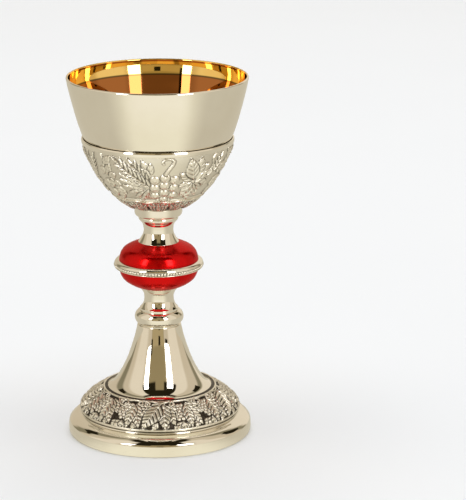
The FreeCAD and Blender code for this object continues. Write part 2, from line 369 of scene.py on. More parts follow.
def embossed(name, relief, back, ground, trim=None):
    """The ornament as a closed ring: the raised side, then the plain back from its top edge down.

    ground is how far the plain parts lie below the side.
    trim is the share of the height that each column keeps."""
    side, length = relief.side, relief.along[-1]
    tangent = np.gradient(side, axis=0)
    tangent /= np.linalg.norm(tangent, axis=1)[:, None]
    outward = np.stack([tangent[:, 1], -tangent[:, 0]], axis=1)
    rise = np.tile(relief.rise, (1, relief.repeats)) - ground
    turn = np.radians(np.concatenate([relief.turn + k * relief.span for k in range(relief.repeats)]))
    keep = np.ones(len(turn)) if trim is None else np.tile(trim, relief.repeats)
    front_share = relief.along[:, None] / length * keep[None, :] * length
    behind = run(back, 2.5)
    steps = np.linalg.norm(np.diff(behind, axis=0), axis=1)
    reach = np.concatenate([[0], np.cumsum(steps)])
    share = reach[-1] - (reach[-1] - reach)[:, None] * keep[None, :]
    full = []
    for axis in (0, 1):
        base = np.interp(front_share, relief.along, side[:, axis])
        lean = np.interp(front_share, relief.along, outward[:, axis])
        full.append(np.concatenate([base + lean * rise, np.interp(share, reach, behind[:, axis])]))
    radius, high = full
    x, y = radius * np.sin(turn)[None, :], -radius * np.cos(turn)[None, :]
    vertices = np.stack([x, y, high], axis=2).reshape(-1, 3) * MM
    count, around = radius.shape
    piece = mesh_object(name, vertices, bands(count, around, closed=True))
    plain = np.zeros((len(behind), around))
    # how deep each point lies in a hollow, which the material darkens with patina and painted shade
    hollow_depth = np.tile(relief.hollows(2), (1, relief.repeats))
    mark(piece, "hollow", np.concatenate([hollow_depth, plain]).ravel())
    mark(piece, "rise", np.concatenate([rise + ground, plain + 1]).ravel())
    return piece


def threaded(name, bottom, top, around=72):
    """An M8 rod: its surface rises and falls along a right-hand helix, and both ends are chamfered."""
    depth = 0.61 * THREAD_PITCH  # of an ISO thread
    rows = int((top - bottom) / THREAD_PITCH * 8) + 1
    high = np.linspace(bottom, top, rows)
    turn = 2 * np.pi * np.arange(around) / around
    phase = (high[:, None] / THREAD_PITCH - turn[None, :] / (2 * np.pi)) % 1
    groove = np.clip(1.25 * (1 - np.abs(2 * phase - 1)) - 0.1, 0, 1)
    radius = THREAD_RADIUS - depth * groove
    chamfer = np.minimum(high - bottom, top - high)[:, None] + THREAD_RADIUS - depth
    radius = np.minimum(radius, chamfer)
    x, y = radius * np.cos(turn)[None, :], radius * np.sin(turn)[None, :]
    z = np.broadcast_to(high[:, None], x.shape)
    vertices = np.stack([x, y, z], axis=2).reshape(-1, 3) * MM
    vertices = np.concatenate([vertices, np.array([[0, 0, bottom], [0, 0, top]]) * MM])
    return mesh_object(name, vertices, bands(rows, around, closed=False) + caps(rows, around))


# ---------------------------------------------------------------------------
# Materials
# ---------------------------------------------------------------------------

class Nodes:
    """A node tree, with short ways to add to it."""

    def __init__(self, tree):
        self.tree = tree

    def node(self, kind, **settings):
        made = self.tree.nodes.new(kind)
        for key, value in settings.items():
            setattr(made, key, value)
        return made

    def join(self, output, target):
        self.tree.links.new(output, target)

    def ramp(self, value, low, high, start, end, kind="LINEAR"):
        """The value, taken from low..high to start..end and held there."""
        made = self.node("ShaderNodeMapRange", interpolation_type=kind)
        for name, number in ("From Min", low), ("From Max", high), ("To Min", start), ("To Max", end):
            made.inputs[name].default_value = number
        self.join(value, made.inputs["Value"])
        return made.outputs["Result"]

    def blend(self, share, first, second):
        """A colour between two, each a colour or another node's output."""
        made = self.node("ShaderNodeMix", data_type="RGBA")
        self.join(share, made.inputs["Factor"])
        targets = [socket for socket in made.inputs if socket.type == "RGBA"]
        for target, colour in zip(targets, (first, second)):
            if isinstance(colour, tuple):
                target.default_value = colour + (1.0,)
            else:
                self.join(colour, target)
        return [socket for socket in made.outputs if socket.type == "RGBA"][0]

    def reckon(self, operation, *values):
        """Arithmetic on one or two values, each a number or another node's output."""
        made = self.node("ShaderNodeMath", operation=operation)
        for socket, value in zip(made.inputs, values):
            if isinstance(value, (int, float)):
                socket.default_value = value
            else:
                self.join(value, socket)
        return made.outputs["Value"]


class Finish(Nodes):
    """A node material built around one Principled shader."""

    def __init__(self, name, metallic=1.0):
        self.material = bpy.data.materials.new(name)
        self.material.use_nodes = True
        super().__init__(self.material.node_tree)
        self.shader = self.tree.nodes["Principled BSDF"]
        self.place = self.node("ShaderNodeTexCoord").outputs["Object"]
        self.set("Metallic", metallic)

    def set(self, socket, value):
        self.shader.inputs[socket].default_value = value

    def noise(self, scale, detail=4.0, stretch=(1, 1, 1)):
        mapping = self.node("ShaderNodeMapping")
        mapping.inputs["Scale"].default_value = stretch
        self.join(self.place, mapping.inputs["Vector"])
        texture = self.node("ShaderNodeTexNoise")
        texture.inputs["Scale"].default_value = scale
        texture.inputs["Detail"].default_value = detail
        self.join(mapping.outputs["Vector"], texture.inputs["Vector"])
        return texture.outputs["Fac"]

    def attribute(self, name):
        return self.node("ShaderNodeAttribute", attribute_name=name).outputs["Fac"]

    def bump(self, height, strength, distance):
        made = self.node("ShaderNodeBump")
        made.inputs["Strength"].default_value = strength
        made.inputs["Distance"].default_value = distance
        self.join(height, made.inputs["Height"])
        self.join(made.outputs["Normal"], self.shader.inputs["Normal"])

    def colour(self, output):
        self.join(output, self.shader.inputs["Base Color"])

    def roughness(self, output):
        self.join(output, self.shader.inputs["Roughness"])


SILVER = (0.88, 0.85, 0.78)
SILVER_DIM = (0.83, 0.79, 0.71)
GILT = (1.0, 0.70, 0.24)
GILT_DEEP = (0.93, 0.56, 0.13)
# deeper gilt below the gilt line, darkened as painted shade deep in the bowl
DEEP_GILT_AND_SHADE = (0.42, 0.155, 0.045)
# patina for the hollows, also painted shade in the relief's hollows and along the cup's gilt line
PATINA_AND_SHADE = (0.022, 0.014, 0.009)
RED = (0.74, 0.0, 0.0)
RED_DEEP = (0.60, 0.0, 0.001)


def polished_silver():
    """Mirror plate: faint clouds in its tint, and a polish that is a little softer here and there."""
    finish = Finish("polished_silver")
    clouds = finish.ramp(finish.noise(38, 5), 0.35, 0.7, 0, 1)
    finish.colour(finish.blend(clouds, SILVER, SILVER_DIM))
    finish.roughness(finish.ramp(finish.noise(210, 3), 0.35, 0.75, 0.025, 0.075))
    finish.bump(finish.noise(24, 2), strength=0.05, distance=0.0004)
    return finish.material


def cup_polish():
    """Mirror silver outside and gilt inside: bright under the lip, dark and reddish from a line down, which
    is a deeper gilt and painted shade deep in the bowl, with a painted shadow line along it.
    """
    finish = Finish("cup_polish")
    clouds = finish.ramp(finish.noise(30, 5), 0.35, 0.7, 0, 1)
    outside = finish.blend(clouds, SILVER, SILVER_DIM)
    level = finish.attribute("level")
    bright = finish.blend(clouds, GILT, GILT_DEEP)
    # below the gilt line: a deeper gilt, darkened and reddened as painted shade deep in the bowl
    inside = finish.blend(finish.ramp(level, GILT_LINE - 0.5, GILT_LINE + 0.3, 1, 0), bright, DEEP_GILT_AND_SHADE)
    # a thin dark line along the gilt line: painted shadow at its edge
    from_line = finish.reckon("ABSOLUTE", finish.reckon("SUBTRACT", level, GILT_LINE))
    line = finish.ramp(from_line, 0.25, 0.7, 0.8, 0)
    inside = finish.blend(line, inside, PATINA_AND_SHADE)
    gilt = finish.ramp(finish.attribute("gilt"), 0.35, 0.65, 0, 1)
    finish.colour(finish.blend(gilt, outside, inside))
    finish.roughness(finish.ramp(finish.noise(180, 3), 0.35, 0.75, 0.02, 0.07))
    finish.bump(finish.noise(20, 2), strength=0.05, distance=0.0004)
    return finish.material


def relief_silver(name, ground, on_ground, in_hollows, rough=0.1):
    """Polished on what stands proud, and dark on the ground and in the hollows: patina, and in part painted
    shade.

    ground is the range of heights over which the dark of the ground, patina and painted shade, thins out to
    nothing."""
    finish = Finish(name)
    clouds = finish.ramp(finish.noise(60, 5), 0.35, 0.7, 0, 1)
    bright = finish.blend(clouds, SILVER, SILVER_DIM)
    low = finish.ramp(finish.attribute("rise"), *ground, on_ground, 0)
    hollow = finish.ramp(finish.attribute("hollow"), 0.04, 0.3, 0, in_hollows)
    # the ground and the hollows darkened: patina, and in part painted shade
    patina_and_painted_shade = finish.reckon("MAXIMUM", low, hollow)
    broken = finish.ramp(finish.noise(900, 4), 0.3, 0.7, 0.9, 1.0)
    share = finish.reckon("MULTIPLY", patina_and_painted_shade, broken)
    finish.colour(finish.blend(share, bright, PATINA_AND_SHADE))
    finish.roughness(finish.ramp(share, 0, 1, rough, 0.42))
    finish.bump(finish.noise(1500, 3), strength=0.12, distance=0.00005)
    return finish.material


def red_enamel():
    """Translucent enamel on silver: a deep red that the metal under it lights up, under a clear glaze."""
    finish = Finish("red_enamel", metallic=0.92)
    finish.set("Specular IOR Level", 0.1)
    finish.set("Specular Tint", (0.75, 0.0, 0.0, 1.0))
    finish.set("Coat Weight", 0.25)
    finish.set("Coat Roughness", 0.14)
    finish.set("Coat IOR", 1.45)
    clouds = finish.ramp(finish.noise(45, 4), 0.3, 0.7, 0, 1)
    finish.colour(finish.blend(clouds, RED, RED_DEEP))
    finish.roughness(finish.ramp(finish.noise(300, 3), 0.3, 0.7, 0.2, 0.3))
    finish.bump(finish.noise(30, 1), strength=0.03, distance=0.0004)
    return finish.material


def turned_metal(name, light, dark, rough):
    """A plain turned or zinc-plated metal with fine rings left by the tool."""
    finish = Finish(name)
    rings = finish.noise(30, 6, (1, 1, 60))
    finish.colour(finish.blend(finish.ramp(rings, 0.3, 0.7, 0, 1), light, dark))
    finish.roughness(finish.ramp(rings, 0.3, 0.7, rough, rough + 0.18))
    finish.bump(rings, strength=0.15, distance=0.00005)
    return finish.material


def plain_stage(name, colour, spread):
    """A plain matt surface with the faintest unevenness."""
    finish = Finish(name, metallic=0.0)
    other = tuple(channel * (1 - spread) for channel in colour)
    finish.colour(finish.blend(finish.ramp(finish.noise(3, 3), 0.3, 0.7, 0, 1), colour, other))
    finish.set("Roughness", 0.9)
    finish.set("Specular IOR Level", 0.0)
    return finish.material


MATERIALS = {
    "polished_silver": polished_silver(),
    "cup_polish": cup_polish(),
    "relief_silver": relief_silver("relief_silver", (0.0, 0.3), on_ground=0.08, in_hollows=0.75, rough=0.34),
    "leaf_silver": relief_silver("leaf_ring_silver", (0.1, 0.75), on_ground=1.0, in_hollows=0.95, rough=0.25),
    "foot_relief": relief_silver("foot_relief_silver", (0.1, 0.5), on_ground=1.0, in_hollows=0.95, rough=0.3),
    "band_silver": relief_silver("band_silver", (0.0, 0.3), on_ground=0.85, in_hollows=0.4),
    "red_enamel": red_enamel(),
    "bright_brass": turned_metal("bright_brass", (0.80, 0.58, 0.27), (0.70, 0.48, 0.20), rough=0.2),
    "bright_steel": turned_metal("bright_steel", (0.62, 0.62, 0.64), (0.50, 0.50, 0.52), rough=0.22),
    "spring_steel": turned_metal("spring_steel", (0.16, 0.16, 0.17), (0.10, 0.10, 0.11), rough=0.35),
}


STEM = "stem_and_foot"


def place(piece, body, material="polished_silver", slot=None):
    """Finish a piece, set it in place of the CAD node it is named for, and let it ride on its body."""
    piece.data.materials.clear()
    piece.data.materials.append(MATERIALS[material])
    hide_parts(piece.name.replace("_shown", ""))
    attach(piece, body)


# ---------------------------------------------------------------------------
# The cup
# ---------------------------------------------------------------------------

CUP_SIDE = [
    (9.5, CUP_FLOOR), (14.0, 145.6), (20.0, 146.8), (26.6, 150.1), (32.4, 155.8), (36.7, 163.2),
    (40.3, 171.2), (43.3, 178.4), (45.9, 185.7), (48.3, 194.1), (50.4, 202.3),
    (51.9, 208.9), (RIM_RADIUS, HEIGHT - LIP_DROP)]


def build_cup():
    inner = beside(CUP_SIDE, CUP_WALL)
    lip = [CUP_SIDE[-1], (52.35, HEIGHT - 0.25), (51.95, HEIGHT)]
    lip_inside = [(51.55, HEIGHT), (51.3, HEIGHT - 0.25), (51.2, HEIGHT - LIP_DROP)]
    inner[0] = lip_inside[-1]
    outline = section(
        [(0, CUP_FLOOR), CUP_SIDE[0]], CUP_SIDE, lip, lip_inside, inner,
        [inner[-1], (0, inner[-1][1])], step=0.9)
    bowl = turned("cup_bowl_shown", outline, AROUND_WIDE)
    ring = outline[1:-1]
    gilt = np.zeros(len(ring))
    gilt[int(np.argmax(ring[:, 1])) + 1:] = 1
    mark(bowl, "gilt", np.concatenate([np.repeat(gilt, AROUND_WIDE), [0, 1]]))
    mark(bowl, "level", np.concatenate([np.repeat(ring[:, 1], AROUND_WIDE), [CUP_FLOOR, CUP_FLOOR]]))
    place(bowl, "cup", "cup_polish")
    place(threaded("cup_stud_shown", 118.5, CUP_FLOOR), "cup", "bright_steel")


# ---------------------------------------------------------------------------
# The calyx
# ---------------------------------------------------------------------------

CALYX_SIDE = [
    (14.0, CALYX_FLOOR), (18.4, 138.5), (22.4, 141.3), (26.9, 145.5), (31.5, 150.6),
    (35.3, 156.0), (38.6, 162.0), (41.0, 167.0), (42.6, 171.4), (43.2, CALYX_LIP_FOOT)]


def calyx_relief():
    """Three times round: wheat on the left, a bunch of grapes in the middle, a vine leaf on the right."""
    relief = Relief(CALYX_SIDE[2:], 3, 240, 0.3)
    # tendril and its leaves, far left and, where the pattern repeats, far right
    tendril = [(-49.5, 173.6), (-48.2, 169.8), (-50.4, 164.5), (-46.5, 159.2), (-42.5, 153.0)]
    relief.ridge(tendril, width=0.7, rise=0.9)
    for root, tip in (
            ((-49.0, 161.5), (-41.6, 168.8)), ((-47.6, 160.0), (-38.6, 162.4)),
            ((-46.0, 157.5), (-53.5, 152.2)), ((-45.0, 156.5), (-36.2, 155.6)),
            ((-43.5, 154.0), (-35.5, 149.2)), ((-42.5, 153.0), (-43.8, 145.4)),
            ((-48.5, 168.0), (-39.6, 173.4)), ((-50.0, 166.0), (-58.0, 160.0)),
            ((-52.0, 158.0), (-59.0, 152.0)), ((-50.5, 152.0), (-55.5, 146.0))):
        relief.leaflet(root, tip, width=2.4, rise=1.0, ribs=3.0, fold=0.35, groove=0.5)
    # low leaves behind the wheat, down to the leaf ring
    for tip in (
            (-35.6, 164.0), (-37.5, 160.2), (-36.2, 155.8), (-31.8, 151.2), (-26.5, 147.6), (-19.5, 145.2)):
        relief.leaflet((-8.6, 153.8), tip, width=1.7, rise=1.1, ribs=3.0, fold=0.35, groove=0.5)
    for tip, width in (((-13.0, 173.2), 2.4), ((-6.0, 171.6), 2.1), ((-16.0, 168.2), 2.0)):
        relief.leaflet((-6.2, 163.4), tip, width, rise=1.1, ribs=3.0, fold=0.35, groove=0.5)
    # wheat, crossing up to the left
    relief.wheat((-9.0, 160.0), (-21.0, 171.6), pairs=4, grain=6.4, rise=1.05)
    relief.wheat((-7.5, 156.0), (-31.0, 170.6), pairs=7, grain=7.2, rise=1.25)
    # vine leaf on the right
    relief.vine_leaf((33.0, 158.0), (
        (44.5, 168.8), (36.8, 173.4), (56.0, 162.8), (53.5, 154.2), (45.0, 147.6), (34.0, 145.6),
        (24.0, 148.6), (18.8, 155.6), (18.2, 164.2), (26.2, 173.2)), breadth=0.25, rise=1.2)
    relief.grape((33.0, 158.0), radius=1.3, rise=1.3)
    # tendrils and an ear at the right edge
    tendril = [(46.5, 161.5), (50.5, 166.8), (48.2, 170.6), (51.5, 173.6)]
    relief.ridge(tendril, width=0.6, rise=0.9, taper=0.3, groove=0.4)
    relief.wheat((53.5, 162.0), (58.5, 170.5), pairs=3, grain=5.6, rise=1.0)
    # grapes, the lower ones first
    for turn in (0.6, 11.0):
        relief.grape((turn, 145.6), radius=2.0, rise=1.2)
    for turn, high, radius in (
            (5.9, 146.6, 2.4), (-3.2, 149.4, 2.75), (15.4, 149.6, 2.75), (6.0, 151.3, 2.75),
            (-3.2, 154.6, 2.95), (15.0, 154.6, 2.9), (6.0, 156.3, 2.9), (-2.8, 160.1, 3.05),
            (14.6, 160.0, 3.0), (6.1, 161.4, 3.0)):
        relief.grape((turn, high), radius, rise=1.6)
    # the plain band that the leaf ring lies on
    up = relief.offsets((0.0, 146.2))[1]
    relief.lay(0.8 * np.clip(-up / 0.6, 0, 1))
    # the bunch's stalk, with its curled end
    stalk = [(6.4, 164.0), (8.8, 166.8), (12.0, 170.2), (12.8, 172.0), (11.0, 173.4)]
    relief.ridge(stalk, width=1.2, rise=1.3, taper=0.3, groove=0.4)
    curl = [(11.4, 173.3), (8.0, 173.6), (4.4, 172.6), (3.4, 171.0), (4.8, 170.2)]
    relief.ridge(curl, width=0.75, rise=1.0, taper=0.3)
    return relief


def leaf_ring_relief(face, repeats):
    """Upright leaves side by side, each a fan of five blades, under a plain bright rim."""
    relief = Relief(face, repeats, 64, 0.3)
    half = relief.span / 2
    for turn, high in ((-0.9, 143.4), (0.9, 143.4), (-0.48, 144.6), (0.48, 144.6), (0.0, 145.0)):
        root, tip = (0.25 * turn * half, 136.6), (turn * half, high)
        relief.leaflet(root, tip, width=1.7, rise=0.75, ribs=2.4, fold=0.6)
    up = relief.offsets((0.0, 144.3))[1]
    relief.lay(0.75 * np.clip((up + 0.5) / 0.5, 0, 1))
    return relief


def build_calyx():
    relief = calyx_relief()
    back = beside(CALYX_SIDE, SHEET)[:-1]
    back[0] = (back[0][0], CALYX_LIP_FOOT)
    back = [q for q in back if q[1] > SHELL_EDGE[1] + 0.3]
    shell = embossed("calyx_shell_shown", relief, [*back, SHELL_EDGE], ground=0.45)
    place(shell, "calyx", "relief_silver")
    floor_top = CALYX_FLOOR + SHEET
    floor = section(
        [(BORE, CALYX_FLOOR), CALYX_SIDE[0]], CALYX_SIDE[:3],
        [SHELL_EDGE, (17.6, 139.5), (13.2, floor_top)], [(BORE, floor_top), (BORE, CALYX_FLOOR)])
    base = turned("calyx_shell_floor", floor, 128)
    base.data.materials.append(MATERIALS["polished_silver"])
    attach(base, "calyx")

    lip = section(
        [(42.3, CALYX_LIP_FOOT), (43.9, CALYX_LIP_FOOT)],
        [(43.9, CALYX_LIP_FOOT), (44.2, 175.9), (44.0, CALYX_LIP_TOP)],
        [(44.0, CALYX_LIP_TOP), (43.3, CALYX_LIP_TOP)], step=0.35, ease=0.2)
    place(turned("calyx_rim_ring_shown", lip, AROUND_WIDE), "calyx")

    face = [(14.7, CALYX_FLOOR - 0.1), (19.0, 138.0), (23.0, 140.9), (27.4, 145.1)]
    leaves = leaf_ring_relief(face, 12)
    # the ring's top edge dips between the leaves
    wave = 1 - 0.075 * np.abs(np.sin(np.radians(leaves.turn / leaves.span * 180 + 90)) - 1)
    seat = [(26.8, 145.2), (22.4, 141.35), (18.4, 138.55), (14.1, CALYX_FLOOR)]
    ring = embossed("calyx_leaf_ring_shown", leaves, seat, ground=0.5, trim=wave)
    place(ring, "calyx", "leaf_silver", "relief_silver")

    foot = STEM_TOP + 0.1
    collar = section(
        [(8.2, foot), (13.0, foot)],
        [(13.0, foot), (13.6, foot + 0.7), (13.9, 133.6), (13.9, 135.0)],
        [(13.9, 135.0), (13.9, CALYX_FLOOR)], [(13.9, CALYX_FLOOR), (8.2, CALYX_FLOOR)],
        step=0.4, ease=0.25)
    place(turned("calyx_collar_shown", collar), "calyx")


# ---------------------------------------------------------------------------
# The stem
# ---------------------------------------------------------------------------

UPPER_DOME = [
    (23.2, BAND_TOP), (22.8, 106.5), (22.0, 108.7), (20.4, 110.8), (17.8, 112.5),
    (14.6, 113.9), (11.9, UPPER_NECK_FOOT)]
LOWER_DOME = [
    (12.0, LOWER_NECK_TOP), (15.2, 89.3), (18.0, 90.9), (20.6, 92.9), (22.2, 95.4),
    (23.0, 98.0), (23.2, BAND_BOTTOM)]


def band_relief(side):
    """A row of fine pearls in a channel, between a plain shoulder and a plain lip."""
    relief = Relief(side, 90, 14, 0.1)
    up = relief.offsets((0, 101.4))[1]
    relief.lay(0.6 * np.clip((np.abs(up) - 0.9) / 0.15, 0, 1))
    relief.grape((0, 101.4), radius=0.84, rise=0.85)
    return relief


def build_stem():
    ring = [(10.9, 127.9), (11.4, 128.6), (11.4, 130.2), (11.0, STEM_TOP)]
    waist = [
        (11.9, UPPER_NECK_FOOT), (10.9, 116.4), (9.7, 118.3), (8.8, 120.6), (8.65, 122.6),
        (8.9, 124.7), (9.7, 126.6), (10.9, 127.9)]
    seat = STEM_TOP - SEAT_DEPTH
    neck = section(
        [(BUSH_RADIUS, UPPER_NECK_FOOT), waist[0]], waist, ring, [ring[-1], (8.4, STEM_TOP)],
        [(8.4, STEM_TOP), (8.4, seat)], [(8.4, seat), (BUSH_RADIUS, seat)], step=0.4, ease=0.2)
    place(turned("upper_neck_shown", neck), STEM)

    hole, ledge = BUSH_RADIUS + 0.1, UPPER_NECK_FOOT - KNOT_WALL
    vault = [(10.8, ledge)] + beside(UPPER_DOME, SHEET)[1:-1] + [(21.9, BAND_TOP)]
    upper = section(
        UPPER_DOME, [UPPER_DOME[-1], (hole, UPPER_NECK_FOOT)],
        [(hole, UPPER_NECK_FOOT), (hole, ledge)], [(hole, ledge), vault[0]], vault, step=0.5)
    place(turned("knot_upper_shell_shown", upper), STEM, "red_enamel")

    ledge = LOWER_NECK_TOP + KNOT_WALL
    vault = [(21.9, BAND_BOTTOM)] + beside(LOWER_DOME, SHEET)[1:-1] + [(10.9, ledge)]
    lower = section(
        [(BORE, LOWER_NECK_TOP), LOWER_DOME[0]], LOWER_DOME, vault, [vault[-1], (BORE, ledge)], step=0.5)
    place(turned("knot_lower_shell_shown", lower), STEM, "red_enamel")

    side = [
        (25.2, BAND_BOTTOM), (25.75, 100.2), (25.95, 100.7), (26.05, 101.35), (26.05, 102.0),
        (25.95, 102.5), (25.6, 103.3), (24.9, 104.0), (23.6, BAND_TOP)]
    back = [(23.4, BAND_TOP), (21.6, BAND_TOP), (21.6, BAND_BOTTOM)]
    band = embossed("knot_band_shown", band_relief(side), back, ground=0.6)
    place(band, STEM, "band_silver")

    waist = [
        (11.3, 75.0), (10.2, 76.2), (9.1, 78.2), (8.6, 80.6), (8.6, 82.4), (9.3, 84.6),
        (10.6, 86.5), (12.0, LOWER_NECK_TOP)]
    neck = section(
        [(BORE, COLLAR_TOP), (11.3, COLLAR_TOP)], [(11.3, COLLAR_TOP), (11.3, 75.0)], waist,
        [waist[-1], (BORE, LOWER_NECK_TOP)], step=0.4, ease=0.2)
    place(turned("lower_neck_shown", neck), STEM)

    collar = section(
        [(BORE, CONE_TOP), (12.2, CONE_TOP)], [(12.2, CONE_TOP), (12.2, 65.8)],
        [(12.2, 65.8), (13.6, 67.1), (14.3, 69.4), (13.7, 71.9), (12.2, COLLAR_TOP)],
        [(12.2, COLLAR_TOP), (BORE, COLLAR_TOP)], step=0.35, ease=0.2)
    place(turned("foot_collar_shown", collar), STEM)
    place(threaded("tie_bolt_shown", 49.5, 117.5), STEM, "bright_steel")


# ---------------------------------------------------------------------------
# The foot
# ---------------------------------------------------------------------------

CONE_SIDE = [
    (31.6, CONE_FOOT), (28.6, 28.6), (25.0, 32.5), (22.0, 37.6), (19.7, 42.3), (17.7, 47.4),
    (15.9, 52.8), (14.3, 58.2), (12.8, CONE_TOP)]
RELIEF_SIDE = [
    (47.0, 13.2), (47.1, 15.2), (46.1, 17.5), (43.9, 20.1), (40.6, 22.6), (36.3, 25.5), (32.9, 27.6),
    (30.9, 28.4)]


def foot_relief():
    """Five times round: bunches of small grapes between pointed leaves, with curled tendrils above."""
    relief = Relief(RELIEF_SIDE, 5, 180, 0.25)
    # a row of small leaves along the lower edge, behind everything
    for turn in range(-36, 36, 8):
        root, tip = (turn + 2.5, 18.6), (turn - 1.5, 14.4)
        relief.leaflet(root, tip, width=2.0, rise=0.75, ribs=2.2, fold=0.8, groove=0.5)
    # bunches
    for turn in (16.5, 42.5):
        relief.bunch((turn, 25.6), rows=(3, 4, 5, 4, 3, 2), pitch=2.2, rise=1.0)
    # leaves between and under the bunches
    for root, tip, width in (
            ((28.0, 27.0), (37.0, 25.0), 2.0), ((-9.0, 26.8), (-19.0, 24.8), 2.2),
            ((9.0, 26.6), (14.0, 22.6), 2.2), ((50.0, 26.4), (60.5, 21.0), 3.0),
            ((49.5, 26.0), (56.5, 15.6), 3.6), ((49.0, 25.6), (47.0, 14.8), 3.2),
            ((24.5, 26.4), (36.0, 21.4), 2.9), ((23.5, 26.0), (32.5, 15.6), 3.5),
            ((23.0, 25.6), (24.0, 14.8), 3.1), ((17.0, 18.6), (12.5, 14.6), 2.2),
            ((17.5, 18.6), (19.0, 14.6), 2.1), ((42.5, 18.6), (37.0, 14.6), 2.2),
            ((42.5, 18.6), (42.5, 14.6), 2.1)):
        relief.leaflet(root, tip, width, rise=1.0, ribs=2.7, fold=0.9, groove=0.6)
    # the large double leaf
    for root, tip, width in (
            ((1.5, 26.6), (-17.0, 21.4), 3.2), ((4.0, 26.4), (11.5, 17.0), 3.6),
            ((3.0, 26.2), (3.6, 14.6), 4.2), ((0.0, 26.2), (-13.0, 15.2), 5.0)):
        relief.leaflet(root, tip, width, rise=1.15, ribs=3.0, fold=0.95, groove=0.7)
    # curled tendrils along the upper edge
    for turn, high, size in ((37.6, 26.0, 2.2), (53.5, 26.6, 1.5), (11.5, 26.6, 1.5), (-12.0, 26.2, 1.6)):
        loop = []
        for step in range(11):
            angle = math.radians(36 * step - 90)
            loop.append(relief.moved((turn, high), size * math.cos(angle), size * math.sin(angle)))
        relief.ridge(loop, width=0.55, rise=0.9, groove=0.4)
    for places in (
            [(36.5, 24.9), (32.5, 25.4), (29.0, 26.8), (25.0, 27.5)],
            [(9.5, 27.6), (5.0, 27.0), (0.0, 26.8), (-8.0, 27.6)],
            [(46.0, 27.6), (42.0, 27.2), (39.5, 27.3), (37.0, 27.7)]):
        relief.ridge(places, width=0.5, rise=0.85, groove=0.4)
    # the plain edges
    for high, width in ((14.0, 0.8), (27.5, 0.55)):
        up = relief.offsets((0.0, high))[1]
        relief.lay(0.75 * np.exp(-(up / width)**4))
    return relief


def build_foot():
    wall = beside(CONE_SIDE, SHEET)
    wall[0] = (wall[0][0], CONE_TOP - SHEET)
    cone = section(
        CONE_SIDE, [CONE_SIDE[-1], (BORE, CONE_TOP)], [(BORE, CONE_TOP), (BORE, CONE_TOP - SHEET)],
        [(BORE, CONE_TOP - SHEET), wall[0]], wall, step=0.7)
    place(turned("foot_cone_shown", cone), STEM)

    under = [
        (30.5, 27.7), (31.6, CONE_FOOT), (35.4, 24.7), (39.5, 21.6), (42.7, 18.6), (44.2, 15.4),
        (44.6, BASE_TOP), (46.2, BASE_TOP), (46.2, 12.9)]
    ring = embossed("foot_relief_ring_shown", foot_relief(), under, ground=0.7)
    place(ring, STEM, "foot_relief", "relief_silver")

    radius, high, thickness, sides = 46.75, 12.35, 0.5, 16
    wire = []
    for step in range(sides):
        turn = 2 * math.pi * step / sides
        wire.append((radius + thickness * math.cos(turn), high + thickness * math.sin(turn)))
    place(turned("foot_bead_ring_shown", np.array(wire), AROUND_WIDE), STEM)

    edge = [(52.2, 0.0), (53.3, 0.45), (FOOT_RADIUS - 0.1, 1.6)]
    side = [
        edge[-1], (FOOT_RADIUS, 3.2), (FOOT_RADIUS, 4.4), (53.72, 5.4), (53.62, 6.4), (53.42, 7.1),
        (53.1, 7.6), (52.6, 8.1), (51.95, 8.7), (51.1, 9.3), (50.3, 9.8), (49.3, 10.2), (47.9, 10.6),
        (47.1, 11.0), (46.6, 11.4), (46.2, BASE_TOP)]
    under = [
        (44.4, 10.75), (46.4, 10.2), (48.2, 9.65), (49.8, 9.15), (51.1, 8.4), (52.0, 7.2), (52.4, 5.8),
        (52.5, 4.4), (52.5, 3.0)]
    turn_in = [under[-1], (52.0, 1.8), (50.8, 1.4)]
    base = section(
        [(49.4, 0.0), edge[0]], edge, side, [side[-1], (44.4, BASE_TOP)],
        [(44.4, BASE_TOP), under[0]], under, turn_in, [turn_in[-1], (49.4, 1.4)], step=0.35)
    place(turned("foot_base_shown", base, AROUND_WIDE), STEM)


build_cup()
build_calyx()
build_stem()
build_foot()

# The hidden turned and bought parts keep their CAD shapes.
for node, finish in (
        ("cup_boss", "bright_brass"), ("calyx_nut", "bright_steel"), ("cup_socket", "bright_brass"),
        ("knot_spacer", "bright_brass"), ("clamp_washer", "bright_steel"), ("lock_washer", "spring_steel"),
        ("clamp_nut", "bright_steel")):
    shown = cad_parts[node]
    shown.data.materials.clear()
    shown.data.materials.append(MATERIALS[finish])


# ---------------------------------------------------------------------------
# Stage, light and camera
# ---------------------------------------------------------------------------

TABLE_SIZE = 6.0
TABLE_WHITE = (0.87, 0.87, 0.87)
CREAM = (0.64, 0.55, 0.41)
PALE = (0.84, 0.75, 0.60)
SHADE = (0.26, 0.23, 0.15)
OLIVE = (0.33, 0.26, 0.135)
OLIVE_LIGHT = (0.46, 0.36, 0.19)
BLACK = (0.018, 0.014, 0.006)
# the glowing paper that the metal mirrors: painted light, brightest in front and far off
PAPER = (0.63, 0.58, 0.46)
PAPER_IN_FRONT = (0.94, 0.89, 0.71)
PAPER_FAR = (1.0, 0.95, 0.80)
SOFTBOX = (5.5, 5.4, 5.2)
SOFTBOX_AWAY = 0.40
BACKDROP = (0.89, 0.89, 0.89)
BACKDROP_AWAY = 2.3
BACKDROP_HEIGHT = 3.0
LAMP_SIZE = 5.0
LAMP_WATTS = 135
LAMP_COLOUR = (0.77, 0.86, 1.0)
LAMP_PLACE = (0.1, 0.3, 3.4)
SENSOR_WIDTH = 36.0  # mm
FOCAL_LENGTH = 188.57  # mm
CAMERA_PLACE = (0.0004, -1.476, 0.510)
CAMERA_LOOKS_DOWN = 15.19  # degrees
CAMERA_LOOKS_RIGHT = 1.669  # degrees


def stage_plane(name, height, material):
    """A level square on the stage."""
    square = [(-1, -1, 0), (1, -1, 0), (1, 1, 0), (-1, 1, 0)]
    plane = mesh_object(name, TABLE_SIZE * np.array(square) + (0, 0, height), [(0, 1, 2, 3)])
    plane.data.materials.append(material)
    return plane


